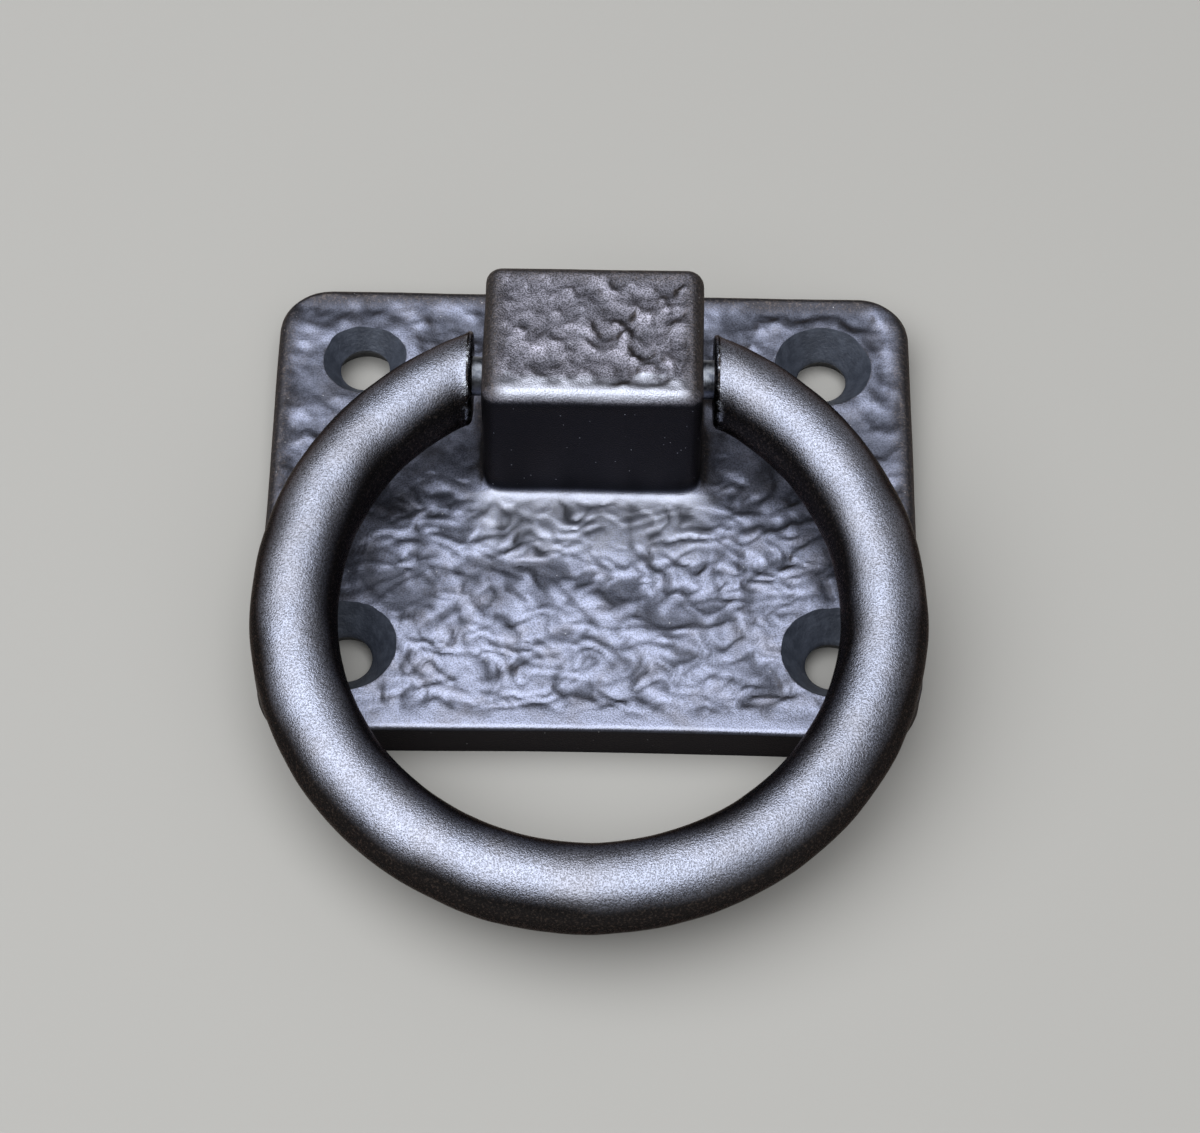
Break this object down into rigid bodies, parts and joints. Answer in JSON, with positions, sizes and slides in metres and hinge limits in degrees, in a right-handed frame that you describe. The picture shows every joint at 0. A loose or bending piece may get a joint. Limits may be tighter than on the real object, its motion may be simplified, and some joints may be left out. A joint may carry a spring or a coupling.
{
  "type": "ring drawer pull",
  "caption": "Hammered rectangular back plate with countersunk screw holes and a square lug, from which a round ring swings on a steel pin to pull a drawer open.",
  "frame": {"origin": "centre of the four screw holes, on the plate's back face", "axes": "+Z out of the drawer front, +Y up the drawer front from the hanging ring to the lug, +X to the right"},
  "size_m": [0.0572, 0.0652, 0.0181],
  "materials": {
    "plate_casting": "dark bronze-black coat over a hammered casting, fine sparkle",
    "ring_bar": "dark bronze-black coat over a smooth round bar",
    "pin_steel": "bare turned steel"
  },
  "bodies": {
    "base": {"back_plate": "plate_casting", "pivot_pin": "pin_steel"},
    "ring": {"pull_ring": "ring_bar"}
  },
  "joints": [
    {"name": "ring_hinge", "type": "hinge", "parent": "base", "child": "ring", "pos_m": [0, 0.008, 0.011], "axis": [-1, 0, 0], "range_deg": [0, 190]}
  ]
}
